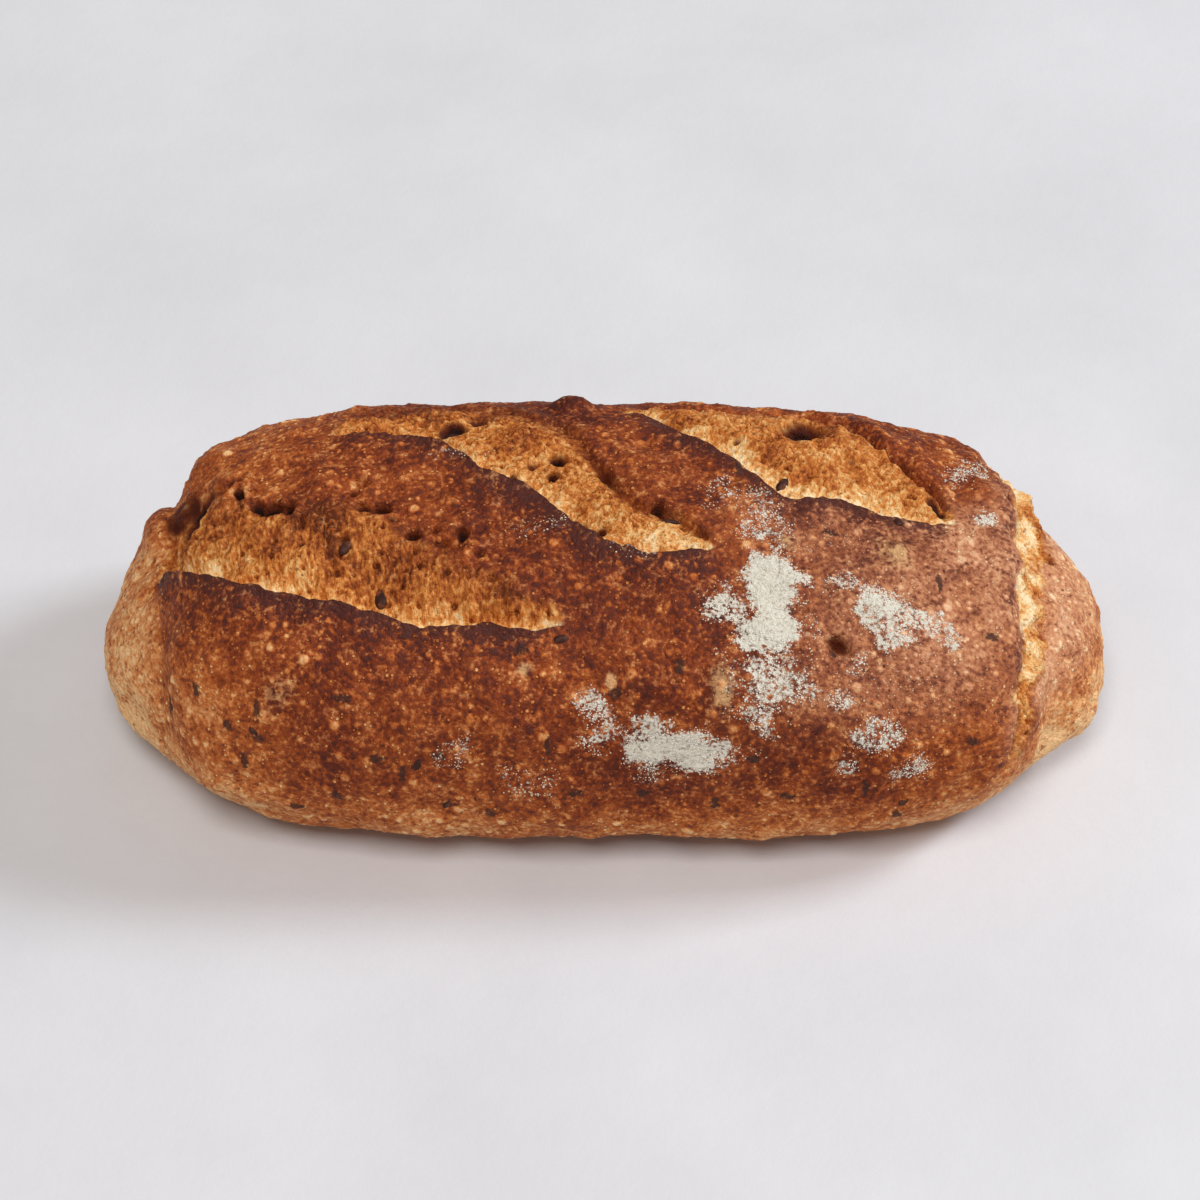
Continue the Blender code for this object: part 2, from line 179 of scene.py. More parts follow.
# Flour left in patches: x, y, z, radius along X, radius across, how thick at the middle
FLOUR_PATCHES = (
    (36.2, -25, 63.8, 8, 8.5, 1), (36, -34.5, 60.5, 6.6, 6.8, 1),
    (36.2, -45.3, 53.5, 10.5, 8.8, 0.64), (34.5, -51, 46.7, 4.5, 4, 0.5), (26, -29.7, 62.8, 5.5, 5.5, 0.66),
    (43.5, -33, 60, 3.5, 6, 0.42), (60, -27, 60.6, 6.5, 6.2, 0.76), (62, -34.8, 57.6, 5, 5.5, 0.66),
    (66.5, -29.5, 59, 5, 4.5, 0.66), (73, -32.2, 56.4, 5.5, 4.5, 0.6), (53, -23, 62.4, 5, 3.5, 0.55),
    (52, -46.3, 50.9, 4, 4, 0.62), (55.8, -41, 54.8, 3.5, 3.5, 0.45), (-2.8, -49, 49.8, 4.5, 5.5, 0.62),
    (-1, -52.2, 43.7, 6.5, 4.5, 0.56), (16.2, -53.3, 41, 11.5, 5.4, 0.92),
    (9.5, -51.7, 45, 5.8, 5.2, 0.72), (29.3, -54, 38.3, 5.5, 3.4, 0.5), (12, -54.6, 34, 6, 3.5, 0.38),
    (57.7, -51.4, 42.7, 8, 4.4, 0.6), (51.4, -53.7, 36, 4, 4.4, 0.58), (69, -52, 34.7, 5.4, 5.4, 0.62),
    (35.8, -5.5, 66, 6.5, 8, 0.52), (24.8, 2.4, 66.4, 5, 6.5, 0.44), (82.1, 19.4, 57.2, 5, 7, 0.52),
    (84.6, 2.8, 58.4, 3.2, 4, 0.6), (-14, -10, 68, 9, 4, 0.34), (5, -17, 67, 5, 4, 0.36),
    (-35, 15, 67, 7, 3, 0.36), (-34, -53, 41, 5, 4, 0.42), (-16, -54, 33, 8, 6, 0.38),
    (46, -12, 66, 12, 8, 0.26), (60, -44, 52, 18, 10, 0.24),
)

# Linseeds where they show: x, y, z, turn to the loaf's length in degrees, and how deep they sit
SEED_LENGTH = 4.9
SEED_WIDTH = 2.6
SEED_THICKNESS = 1.6
SEEDS_SEEN = (
    (-57.6, -13.4, 64, 55, -0.35), (-50.1, -26, 62, 100, 0.1), (-106, 2, 43, 160, 0.9),
    (-35.5, 25.6, 63, 5, 0.5), (40, 6, 67, 60, 0.3), (51, -37.5, 58, 150, 0.5), (66, -2, 63, 100, 0.7),
    (-9, -38, 61, 15, 0.3), (-24, -53, 44, 110, 0.9), (-41, -54, 38, 60, 0.7), (-29, -55, 28, 120, 0.6),
    (-4, -55, 24, 20, 0.8), (-69, -39, 57, 70, 0.8), (-82, -47, 39, 150, 0.7), (-73, -52, 30, 100, 0.8),
    (-64, -51, 42, 80, 0.9), (32, -54, 39, 165, 0.5), (48, -55, 25, 85, 0.9), (67, -53, 25, 30, 0.6),
    (15, -6.5, 68, 5, 0.2), (-19, -40, 59, 95, 0.8), (-35, -55, 25, 45, 0.7), (-60, -54, 27, 140, 0.8),
    (-77, -49, 40, 125, 0.8), (-10, -38, 61, 20, 0.8),
)

# Flour grains to a square millimetre of thick flour, and the stretch of the crumb's grain
GRAINS_PER_AREA = 4.2
STRAND_STRETCH = (0.6, 2.9, 1.2)

# Spacing of the grid on the crown, front, back and underside, along the loaf and its ends, and where the
# crown begins and the underside ends
CROWN_SPACING = 0.36
FRONT_SPACING = 0.5
BACK_SPACING = 0.75
BASE_SPACING = 1.6
ROW_SPACING = 0.4
END_ROW_SPACING = 0.62
CROWN_FROM = 54
UNDERSIDE_TO = 4
NOISE_CELLS = 64
PIECE_TRIANGLES = 195000

# The camera: where it looks, how high it stands and how far away, and its lens
AIM = (-1.2, 0.0, 34.5)
CAMERA_HEIGHT_ANGLE = 45.0
CAMERA_DISTANCE = 800.0
LENS = 103.9
SENSOR = 36.0

# Each light's place, size, power and colour, where they aim, and the surround that fills the shadows
KEY_LIGHT = ((2700, 700, 2110), 900, 76.0, (0.9, 0.98, 1.06))
FILL_LIGHT = ((-200, -1300, 2700), 1200, 54.0, (1.0, 0.985, 0.965))
LIGHT_AIM = (0, 0, 30)
SURROUND_COLOUR = (1.0, 0.92, 0.86, 1)
SURROUND_STRENGTH = 0.27
FLOOR_SIZE = 6


def ease(t):
    """0 below 0, 1 above 1, and an S between them."""
    t = np.clip(t, 0, 1)
    return t * t * (3 - 2 * t)


def bell(distance, width):
    """1 at distance 0, falling away on both sides as a bell of this width."""
    return np.exp(-((distance / width) ** 2))


def smooth_curve(points, x):
    """The height at x of a curve through the points: a cubic between each two."""
    px, py = np.array(points, float).T
    slope = np.gradient(py, px)
    i = np.clip(np.searchsorted(px, x) - 1, 0, len(px) - 2)
    width = px[i + 1] - px[i]
    t = np.clip((x - px[i]) / width, 0, 1)
    start = (1 + 2 * t) * (1 - t) ** 2 * py[i] + t * (1 - t) ** 2 * width * slope[i]
    end = t * t * (3 - 2 * t) * py[i + 1] - t * t * (1 - t) * width * slope[i + 1]
    return start + end


NOISE_TABLE = np.random.default_rng(5).uniform(-1, 1, (NOISE_CELLS,) * 3)


def noise(points, size, shift):
    """Smooth noise from -1 to 1: numbers at the corners of cells of this size, eased between."""
    place = points / size + 17.3 * shift
    cell = np.floor(place).astype(int)
    f = place - cell
    f = f * f * (3 - 2 * f)
    low, high = cell % NOISE_CELLS, (cell + 1) % NOISE_CELLS
    total = 0
    for i, xs in enumerate((low[..., 0], high[..., 0])):
        for j, ys in enumerate((low[..., 1], high[..., 1])):
            for k, zs in enumerate((low[..., 2], high[..., 2])):
                weight = np.abs(1 - i - f[..., 0]) * np.abs(1 - j - f[..., 1]) * np.abs(1 - k - f[..., 2])
                total = total + weight * NOISE_TABLE[xs, ys, zs]
    return total


def layered(points, size, shift):
    """Noise at this size and twice at halves of it, each half as strong."""
    return sum(noise(points, size / 2**n, shift + 3.1 * n) / 2**n for n in range(3)) / 1.6


def strewn(points, size, shift):
    """Dots, one to a cell: how far the nearest is, in cells, and a number from 0 to 1 of its own."""
    place = points / size + 11.7 * shift
    cell = np.floor(place).astype(int)
    nearest = np.full(place.shape[:-1], 9.0)
    own = np.zeros(place.shape[:-1])
    for step in np.ndindex(3, 3, 3):
        there = cell + np.array(step) - 1
        i, j, k = np.moveaxis(there % NOISE_CELLS, -1, 0)
        centre = np.stack([NOISE_TABLE[i, j, k], NOISE_TABLE[j, k, i], NOISE_TABLE[k, i, j]], -1) * 0.4 + 0.5
        distance = np.linalg.norm(there + centre - place, axis=-1)
        closer = distance < nearest
        nearest = np.where(closer, distance, nearest)
        own = np.where(closer, NOISE_TABLE[j, i, k] * 0.5 + 0.5, own)
    return nearest, own


def rounded_end(x, length, power):
    """The half height of a superellipse of this length and half height 1."""
    return np.maximum(1 - np.abs(2 * x / length) ** power, 0) ** (1 / power)


def taper(x, body_power, end_power):
    """The section's share of its full size at x: the body, and the round ends that swell out of it."""
    body = rounded_end(x, BODY_LENGTH, body_power)
    ends = END_FULLNESS * rounded_end(x, LENGTH, end_power)
    blend = np.maximum(1 - np.abs(body - ends) / SHOULDER_BLEND, 0) ** 2 * SHOULDER_BLEND / 4
    return np.maximum(body, ends) + blend


def form_at(x, turn):
    """The loaf without relief: a superellipse, flatter below its waist, carried along X and tapered."""
    power = np.where(np.sin(turn) >= 0, CROWN_POWER, UNDERSIDE_POWER)
    reach = (np.abs(np.cos(turn)) ** power + np.abs(np.sin(turn)) ** power) ** (-1 / power)
    across, up = np.cos(turn) * reach, np.sin(turn) * reach
    size = taper(x, BODY_POWER, END_POWER)[:, None]
    power_below = np.where(x < 0, BODY_POWER_BELOW_LEFT, BODY_POWER_BELOW_RIGHT)
    lower = ease(-2 * up)
    breadth = (1 - lower) * size + lower * taper(x, power_below, END_POWER_BELOW)[:, None]
    waist = (WAIST_HEIGHT - (WAIST_HEIGHT - WAIST_HEIGHT_AT_ENDS) * np.abs(2 * x / LENGTH) ** 3)[:, None]
    top = (HEIGHT - RIGHT_DROP * ease((x - 10) / 100))[:, None]
    narrowing = RIGHT_NARROWING * ease((x - 20) / 90)[:, None] * np.maximum(across, 0)
    y = breadth * across * WIDTH / 2 - narrowing
    above = waist + up * (top - waist) * size
    below = waist + up * waist * np.sqrt(size)
    below = (below - BASE_SINK) * waist / (waist - BASE_SINK)
    z = np.where(up >= 0, above, below)
    return np.stack([np.repeat(x[:, None], len(turn), 1), y, np.maximum(z, 0)], -1)


def even_steps(place, step):
    """Places along a path, each one step from the next; step gives a step's size at each."""
    along = np.concatenate([[0], np.cumsum(np.linalg.norm(np.diff(place, axis=0), axis=1) / step[1:])])
    return np.interp(np.linspace(0, along[-1], int(round(along[-1])) + 1), along, np.arange(len(place)))


def row_places():
    """The x of each row, evenly spaced along the loaf's outline from end to end."""
    x = np.sin(np.linspace(-math.pi / 2, math.pi / 2, 6000)) * LENGTH / 2
    outline = np.stack([x, 0.4 * WIDTH * taper(x, BODY_POWER, END_POWER)], -1)
    step = np.where(np.abs(x) > BODY_LENGTH / 2, END_ROW_SPACING, ROW_SPACING)
    return np.interp(even_steps(outline, step), np.arange(len(x)), x)


def column_turns():
    """The turn of each column about the section, close on the crown and wide under the loaf."""
    turn = np.linspace(0, 2 * math.pi, 6001)
    section = form_at(np.zeros(1), turn)[0][:, 1:]
    y, z = section[:, 0], section[:, 1]
    step = np.where(y < 0, FRONT_SPACING, BACK_SPACING)
    step = np.where(z > CROWN_FROM, CROWN_SPACING, step)
    step = np.where(z < UNDERSIDE_TO, BASE_SPACING, step)
    return np.interp(even_steps(section, step), np.arange(len(turn)), turn)[:-1]


def grid_normals(points):
    """Unit normals of the grid, from the cross product of its two directions."""
    along = np.gradient(points, axis=0)
    around = np.roll(points, -1, 1) - np.roll(points, 1, 1)
    normal = np.cross(around, along)
    normal = normal / np.maximum(np.linalg.norm(normal, axis=-1, keepdims=True), 1e-9)
    normal[0] = (-1, 0, 0)
    normal[-1] = (1, 0, 0)
    return normal


def lumps(points, draw):
    """The dough's unevenness: plane waves of three sizes, each in a few drawn directions."""
    height = np.zeros(points.shape[:-1])
    for size in LUMP_SIZES:
        for _ in range(7):
            direction = draw.normal(size=3)
            direction *= 2 * math.pi / (size * draw.uniform(0.8, 1.3) * np.linalg.norm(direction))
            phase = draw.uniform(0, 2 * math.pi)
            height += LUMP_HEIGHT * math.sqrt(size / LUMP_SIZES[0]) / 2.6 * np.sin(points @ direction + phase)
    return height


def spot(points, x, y, half_length, half_width, turn, sharpness=1.5):
    """1 at the middle of an oval in plan on the crown, falling away to its edge as a bell."""
    c, s = math.cos(math.radians(turn)), math.sin(math.radians(turn))
    dx, dy = points[..., 0] - x, points[..., 1] - y
    along, across = (dx * c + dy * s) / half_length, (dy * c - dx * s) / half_width
    crown = ease((points[..., 2] - WAIST_HEIGHT) / 10)
    return np.exp(-1.4 * (along**2 + across**2) ** sharpness) * crown


def distance_to_line(points, start, end):
    """How far each point is from a wavering line between two places."""
    start, run = np.array(start, float), np.subtract(end, start).astype(float)
    bent = points + 0.5 * noise(points, 3.0, 7)[..., None]
    share = np.clip((bent - start) @ run / (run @ run), 0, 1)
    return np.linalg.norm(bent - start - share[..., None] * run, axis=-1)


def along_x(x):
    """Points on a line along X, for noise that changes with x alone."""
    return np.stack([x, 0 * x, 0 * x], -1)


class CutField:
    """Each point by a cut: mm past its ragged lip and back edge, and its share of the way between."""

    def __init__(self, points, cut, shift):
        x, y = points[..., 0], points[..., 1]
        first, last = cut["lip"][0][0], cut["lip"][-1][0]
        ragged = 0.8 * noise(along_x(x), 5.0, shift) + 0.65 * noise(along_x(x), 1.9, shift + 1)
        frayed = 1.6 * noise(points, 4.5, shift + 2) + 0.8 * noise(points, 1.8, shift + 3)
        lip = smooth_curve(cut["lip"], x) + ragged
        back = np.maximum(smooth_curve(cut["back"], x) + frayed, lip + 0.5)
        slope = smooth_curve(cut["lip"], x + 0.5) - smooth_curve(cut["lip"], x - 0.5)
        length = np.sqrt(1 + slope**2)
        self.past_lip = (y - lip) / length
        self.past_back = (y - back) / length
        self.share = np.clip((y - lip) / (back - lip), 0, 1)
        self.to_right = ease((x - first) / (last - first))
        fade = ease((x - first) / cut["fade"][0]) * ease((last - x) / cut["fade"][1])
        self.open = fade * ease((back - lip) / 5) * (points[..., 2] > WAIST_HEIGHT)


def cut_relief(field, cut):
    """The crust rises to an ear and drops to the torn floor, which climbs to a groove at the back."""
    ear = cut["ear"] * np.exp(np.minimum(field.past_lip, 0) / EAR_RUN) * (field.past_lip < 0)
    floor = cut["bulge"] * np.sin(math.pi * field.share) - cut["drop"] * (1 - field.share) ** 1.4
    wall = np.clip(field.past_lip / WALL_RUN, 0, 1)
    floor = (wall * floor + (1 - wall) * cut["ear"]) * (field.past_lip >= 0) * (field.past_back < 0)
    groove = bell(field.past_back + 1, GROOVE_RUN) * (field.past_lip > 0)
    step = np.exp(-np.maximum(field.past_back, 0) / STEP_RUN) * ease(field.past_back / 1.5)
    return (ear + floor - cut["groove"] * field.to_right * groove + cut["step"] * step) * field.open


def drawn_out(points, angle, shortness, shift):
    """Coordinates in mm, the first along the strands at this angle to X; shortness cuts them shorter."""
    c, s = math.cos(math.radians(angle)), math.sin(math.radians(angle))
    x, y, z = np.moveaxis(points, -1, 0)
    waver = 1.1 * noise(points, 6.0, shift) + 0.35 * noise(points, 2.2, shift + 5)
    return np.stack([(x * c + y * s) * shortness, y * c - x * s + waver, z], -1)


def torn_detail(points, place, shift):
    """The torn crumb's relief in mm, and how much of a strand and of a pit each point is."""
    strand = 1 - np.abs(noise(place * (0.34, 1.5, 0.6), 1.0, shift + 1)) * 2
    fine = noise(place * (0.9, 2.1, 1.1), 1.0, shift + 2)
    torn_up = noise(place * (0.4, 0.7, 0.5), 1.0, shift + 6)
    distance, size = strewn(place * (0.7, 1, 0.8), 2.3, shift + 3)
    pit = ease((0.6 * size - 0.18 - distance) / 0.14) * (size > 0.68)
    height = 0.24 * strand + 0.2 * fine + 0.5 * torn_up - 0.9 * pit * size
    height += 0.6 * noise(points, 4.0, shift + 4)
    return height, np.clip(strand + 0.5 * fine, 0, 1), pit


def crust_detail(points):
    """The crust's fine relief in mm, and how much of a blister each point is, 0 to 1."""
    crowd = 0.45 + 0.55 * ease(0.5 + 0.9 * layered(points, 15.0, 4))
    height = 0.24 * noise(points, 5.5, 5) + 0.18 * noise(points, 2.2, 6) + 0.09 * noise(points, 1.1, 7)
    blister = np.zeros(points.shape[:-1])
    for number, (size, rise, bare) in enumerate(BLISTERS):
        distance, own = strewn(points, size, number + 1)
        dome = ease((0.1 + 0.34 * own - distance) / 0.2) * (own > bare) * (crowd if number else 1)
        height += rise * dome
        blister = np.maximum(blister, dome * (0.25 + 0.75 * (own * 7 % 1)))
    return height, blister


def end_tear_fields(points):
    """Mm beyond the middle line of the right end's tear, its half width there, and how open it is."""
    x, y, z = np.moveaxis(points, -1, 0)
    beyond = x - smooth_curve(TEAR_LINE, y) + 1.3 * noise(points, 5.5, 31) + 0.6 * noise(points, 1.8, 32)
    width = TEAR_WIDTH * (0.45 + 0.55 * ease((z - 32) / 12))
    return beyond, width, ease((z - TEAR_LOWEST) / 14)


def flour_cover(points):
    """How thickly flour lies, 0 to 1: the thickest of the patches, each with a ragged edge."""
    wander = np.stack([noise(points, 6.0, 41 + n) for n in range(3)], -1) * 2.2
    fray = 0.5 * layered(points, 4.0, 45)
    cover = np.zeros(points.shape[:-1])
    for x, y, z, along, across, thick in FLOUR_PATCHES:
        offset = points + wander - (x, y, z)
        sideways = (offset[..., 1] ** 2 + offset[..., 2] ** 2) / across**2
        reach = np.sqrt((offset[..., 0] / along) ** 2 + sideways)
        cover = np.maximum(cover, thick * ease((1.5 + fray - reach) / 1.05))
    return cover


class Skin:
    """The loaf's skin on the grid: its relief in mm, and the masks that the materials read."""

    def __init__(self):
        self.plain = form_at(row_places(), column_turns())
        self.relief = lumps(self.plain, np.random.default_rng(RANDOM_SEED))
        self.fine, self.blister = crust_detail(self.plain)
        shape = self.plain.shape[:-1]
        self.torn, self.burn, self.dark, self.kernel, self.buried = np.zeros((5, *shape))
        self.toast = np.full(shape, 0.5)
        self.place = self.plain

    def lay_crumb(self, here, height, shade, strands):
        """Turns crust to torn crumb by the share here, with this relief, browning and strands."""
        most = here > self.torn
        self.fine = self.fine * (1 - here) + here * height
        self.toast = np.where(most, shade, self.toast)
        self.place = np.where(most[..., None], strands, self.place)
        self.torn = np.maximum(self.torn, here)

    def tear_cut(self, cut, shift):
        """One cut: its form, its crumb, painted shade in the groove at its back, and its burnt lip."""
        plain = self.plain
        field = CutField(plain, cut, shift)
        self.relief += cut_relief(field, cut)
        past = np.maximum(field.past_back, 0) / max(cut["beyond"], 0.1)
        left = np.where(field.past_back > 0, -past, (1 - field.share) / cut["blend"])
        wide = 1 if cut["beyond"] > 2 else 0
        here = ease((left + 0.6 * layered(plain, 3.5, shift + 8) + wide) / (1 + wide))
        here = here * ease(field.past_lip / 0.5) * ease((field.open - 0.05) / 0.3)
        strands = drawn_out(plain, cut["strands"], cut["shortness"], shift + 4)
        height, ridge, pit = torn_detail(plain, strands, shift + 5)
        behind = np.maximum(field.past_lip - 0.3, 0)
        # Paler on the strands and darker in the pits; the darkening in the pits is painted shade
        shade = cut["toast"] + cut["browning"] * field.share - 0.3 * (ridge - 0.55) + 0.3 * pit
        shade = shade - 0.3 * np.exp(-behind / 1.2) - 0.24 * np.exp(-behind / 7)
        shade = shade + 0.34 * layered(plain, 7.0, shift + 9)
        shade = shade + cut["start"] * ease(1 - field.to_right / 0.42)
        shade = shade + 0.16 * ease(field.past_back / 1.5 + 1)
        self.lay_crumb(here, height * (0.25 + 0.75 * ease(behind / 2.2)), shade, strands)
        # Painted shade in the groove under the crust that overhangs the cut's back edge
        groove = bell(field.past_back + 0.6, 1.9) * field.to_right * field.open * (field.past_lip > 1)
        groove = groove * (0.8 + 0.6 * layered(plain, 4.0, shift + 2))
        self.dark = np.maximum(self.dark, 0.17 * cut["groove"] * groove)
        ragged = 1 + 0.5 * layered(plain, 2.4, shift + 3) + 0.5 * layered(plain, 9.0, shift + 7)
        ahead = np.minimum(field.past_lip, 0) * ragged
        burnt = np.exp(-(np.abs(ahead / BURNT_BAND) ** 1.4)) * (field.past_lip < 0.3) * field.open
        self.burn = np.maximum(self.burn, burnt)

    def tear_end(self):
        """The tear round the right end: its lifted, burnt front and its crumb."""
        plain = self.plain
        y, z = plain[..., 1], plain[..., 2]
        beyond, width, opened = end_tear_fields(plain)
        rise = TEAR_FRONT_LIFT * bell(beyond + 2 * width, 5)
        self.relief += (rise - TEAR_DEPTH * bell(beyond, width)) * opened
        strands = drawn_out(plain, 20, 2.2, 94)
        height, ridge, pit = torn_detail(plain, strands, 95)
        reach = np.where(beyond > 0, width * (0.9 + 0.8 * ease((y + 4) / 8)), 0.75 * width)
        here = ease((1.4 + 0.7 * layered(plain, 3.5, 97) - np.abs(beyond) / reach) / 0.6) * opened
        # Paler on the strands and darker in the pits; the darkening in the pits is painted shade
        shade = 0.15 + 0.24 * ease(beyond / 6) - 0.2 * (ridge - 0.55) + 0.25 * pit
        shade = shade + 0.34 * ease((50 - z) / 14) + 0.5 * layered(plain, 4.0, 98)
        self.lay_crumb(here, 1.2 * height, shade, strands)
        edge = bell(beyond + 1.6 * width, 1.6) * ease(0.2 + 2 * layered(plain, 5.0, 99)) * opened
        self.burn = np.maximum(self.burn, 0.7 * edge * (z > 40))

    def press_marks(self):
        """Hollows, burst bubbles, creases, bumps and pale kernels, with painted shade in the bubbles, folds
        and creases.
        """
        plain = self.plain
        for *oval, depth in HOLLOWS:
            self.relief -= depth * spot(plain, *oval)
        for *oval, depth in HOLES:
            self.relief -= depth * spot(plain, *oval, sharpness=2.2)
            # Painted shade inside each burst bubble, stronger where it is deeper
            self.dark = np.maximum(self.dark, min(1.2, depth / 2) * spot(plain, *oval, sharpness=1.6))
        uneven = 0.85 + 0.4 * layered(plain, 3.0, 93)
        # Painted shade in the deep folds, darkest at their middles
        for *oval, strength in PAINTED_FOLD_SHADE:
            self.dark = np.maximum(self.dark, strength * spot(plain, *oval, sharpness=1.8) * uneven)
        for start, end, half_width, depth in CREASES:
            groove = bell(distance_to_line(plain, start, end), half_width)
            self.relief -= depth * groove
            # Painted shade along the crease
            self.dark = np.maximum(self.dark, 0.5 * groove)
        for *oval, height in BUMPS:
            self.relief += height * spot(plain, *oval)
        uneven = 0.9 + 0.6 * layered(plain, 3.0, 92)
        for *oval, strength in KERNELS:
            self.kernel = np.maximum(self.kernel, strength * spot(plain, *oval, sharpness=1.3) * uneven)

    def bury_seeds(self):
        """Seeds under the skin: a low swelling and a blur each, turned one way or another."""
        plain = self.plain
        for number, seed_place in enumerate(BURIED):
            offset = plain - plain.reshape(-1, 3)[np.argmin(((plain - seed_place) ** 2).sum(axis=-1))]
            slant = 1 + 0.5 * math.sin(2.4 * number)
            away = (offset[..., 0] / slant) ** 2 + (offset[..., 1] ** 2 + offset[..., 2] ** 2) * slant**2
            self.buried = np.maximum(self.buried, np.exp(-away / 2.0))
            self.relief += 0.25 * np.exp(-away / 3.0)


def surface():
    """The whole skin: displaced points, and masks for the materials, on one grid."""
    skin = Skin()
    for number, cut in enumerate(CUTS.values()):
        skin.tear_cut(cut, 10 * number + 50)
    skin.tear_end()
    skin.press_marks()
    skin.bury_seeds()
    plain, relief = skin.plain, skin.relief
    flour = flour_cover(plain)
    relief += skin.fine + 0.2 * ease(flour * 1.6 - 0.5) * (1 + noise(plain, 1.6, 46))
    relief *= ease(plain[..., 2] / 12)
    points = plain + grid_normals(plain) * relief[..., None]
    points[0] = points[0].mean(axis=0)
    points[-1] = points[-1].mean(axis=0)
    masks = {
        "torn": skin.torn, "toast": np.clip(skin.toast, 0, 1), "burn": skin.burn, "dark": skin.dark,
        "blister": skin.blister * (1 - skin.torn), "bake": bake_of(plain), "film": film_of(plain),
        "flour": flour, "kernel": skin.kernel, "buried": skin.buried, "strand_place": skin.place,
    }
    return points, masks


def bake_of(points):
    """How dark the crust is baked, 0 to 1: paler low down, at the left shoulder and on the round ends."""
    x, y, z = np.moveaxis(points, -1, 0)
    wander = 2.4 * noise(points, 7.0, 71) + 1.0 * noise(points, 2.5, 74)
    front = ease((24 - y + 3 * wander) / 30)
    bake = 0.72 + 0.16 * layered(points, 24.0, 72) + 0.12 * layered(points, 6.0, 73)
    bake += 0.03 * ease((z - 58) / 5) + 0.1 * layered(points, 2.8, 75)
    bake -= 0.32 * ease((33 - z) / 20) * front
    bake -= 0.29 * ease((-60 - x) / 26) * ease((57 - z) / 20) * front
    bake -= 0.15 * ease((-100.5 - x - wander) / (2.4 + 10 * (1 - front)))
    bake -= 0.16 * ease((x + wander - 96) / 3.0)
    bake -= 0.2 * ease((x - 52) / 34) * ease((52 - z) / 16)
    bake -= 0.17 * ease((-42 - x) / 22) * ease((y + 4) / 9)
    bake -= 0.1 * ease((x + 6) / 10) * ease((22 - x) / 10) * ease((y - 8) / 9)
    return bake


def film_of(points):
    """A thin film of flour that makes the crust pinkish, towards and on the right end."""
    x, y, z = np.moveaxis(points, -1, 0)
    film = ease((x - 16) / 52) * ease((z - 38) / 18) * ease((14 - y) / 16)
    end = 0.85 * ease((x - 84) / 8) * ease((z - 24) / 18)
    return np.maximum(film, end) * (0.8 + 0.6 * layered(points, 9.0, 81))


def middle_in_plan(points):
    """The middle of the grid's box in plan, which goes over the origin."""
    return (points.min(axis=(0, 1)) + points.max(axis=(0, 1))) / 2 * (1, 1, 0)


def link(name, data):
    """An object of this mesh, light or camera in the scene."""
    made = bpy.data.objects.new(name, data)
    bpy.context.scene.collection.objects.link(made)
    return made


def triangle_mesh(name, corners, triangles, masks, normals=None):
    """A smooth mesh of triangles from arrays, in metres, with an attribute for each mask."""
    mesh = bpy.data.meshes.new(name)
    mesh.vertices.add(len(corners))
    mesh.vertices.foreach_set("co", (corners * MM).ravel())
    mesh.loops.add(triangles.size)
    mesh.loops.foreach_set("vertex_index", triangles.ravel())
    mesh.polygons.add(len(triangles))
    mesh.polygons.foreach_set("loop_start", np.arange(0, triangles.size, 3))
    mesh.update(calc_edges=True)
    mesh.shade_smooth()
    for key, values in masks.items():
        vector = values.ndim == 2 and values.shape[1] == 3
        layer = mesh.attributes.new(key, "FLOAT_VECTOR" if vector else "FLOAT", "POINT")
        layer.data.foreach_set("vector" if vector else "value", values.ravel().astype(np.float32))
    if normals is not None:
        mesh.normals_split_custom_set_from_vertices(normals)
    return mesh


def cell_triangles(a, b, c, d):
    """Two triangles for each cell of a grid, from the numbers of its four corners."""
    return np.concatenate([np.stack([a, b, c], -1).reshape(-1, 3), np.stack([a, c, d], -1).reshape(-1, 3)])


def band_mesh(name, points, normals, masks, first, last):
    """The grid's columns from first to last as a mesh, closed in a fan at each end point."""
    columns = np.arange(first, last + 1) % points.shape[1]
    rows = points.shape[0]
    index = np.arange((rows - 2) * len(columns)).reshape(rows - 2, len(columns)) + 1
    cells = cell_triangles(index[:-1, :-1], index[:-1, 1:], index[1:, 1:], index[1:, :-1])
    last_point = (rows - 2) * len(columns) + 1
    start_fan = np.stack([0 * index[0, :-1], index[0, 1:], index[0, :-1]], -1)
    end_fan = np.stack([0 * index[0, :-1] + last_point, index[-1, :-1], index[-1, 1:]], -1)

    def pick(values):
        values = values.reshape(*points.shape[:2], -1)
        inner = values[1:-1, columns].reshape(-1, values.shape[-1])
        return np.concatenate([values[0, :1], inner, values[-1, :1]])

    triangles = np.concatenate([cells, start_fan, end_fan])
    picked = {key: pick(values) for key, values in masks.items()}
    return triangle_mesh(name, pick(points), triangles, picked, pick(normals))


def shader_group(name, inputs, outputs):
    """An empty node group with sockets of these labels and kinds, and its inlet and outlet."""
    group = bpy.data.node_groups.new(name, "ShaderNodeTree")
    for way, sockets in (("INPUT", inputs), ("OUTPUT", outputs)):
        for label, kind in sockets:
            group.interface.new_socket(label, in_out=way, socket_type=kind)
    return group, group.nodes.new("NodeGroupInput"), group.nodes.new("NodeGroupOutput")


def node(tree, kind, links=None, **settings):
    """A node with these settings, and its inputs linked from sockets or set to values."""
    made = tree.nodes.new(kind)
    for key, value in settings.items():
        setattr(made, key, value)
    for key, value in (links or {}).items():
        if isinstance(value, bpy.types.NodeSocket):
            tree.links.new(value, made.inputs[key])
        else:
            made.inputs[key].default_value = value
    return made


def math_node(tree, operation, first, second=0.0, third=0.0, clamp=False):
    """The result of this operation on sockets or numbers."""
    made = node(tree, "ShaderNodeMath", {0: first, 1: second, 2: third}, operation=operation, use_clamp=clamp)
    return made.outputs[0]


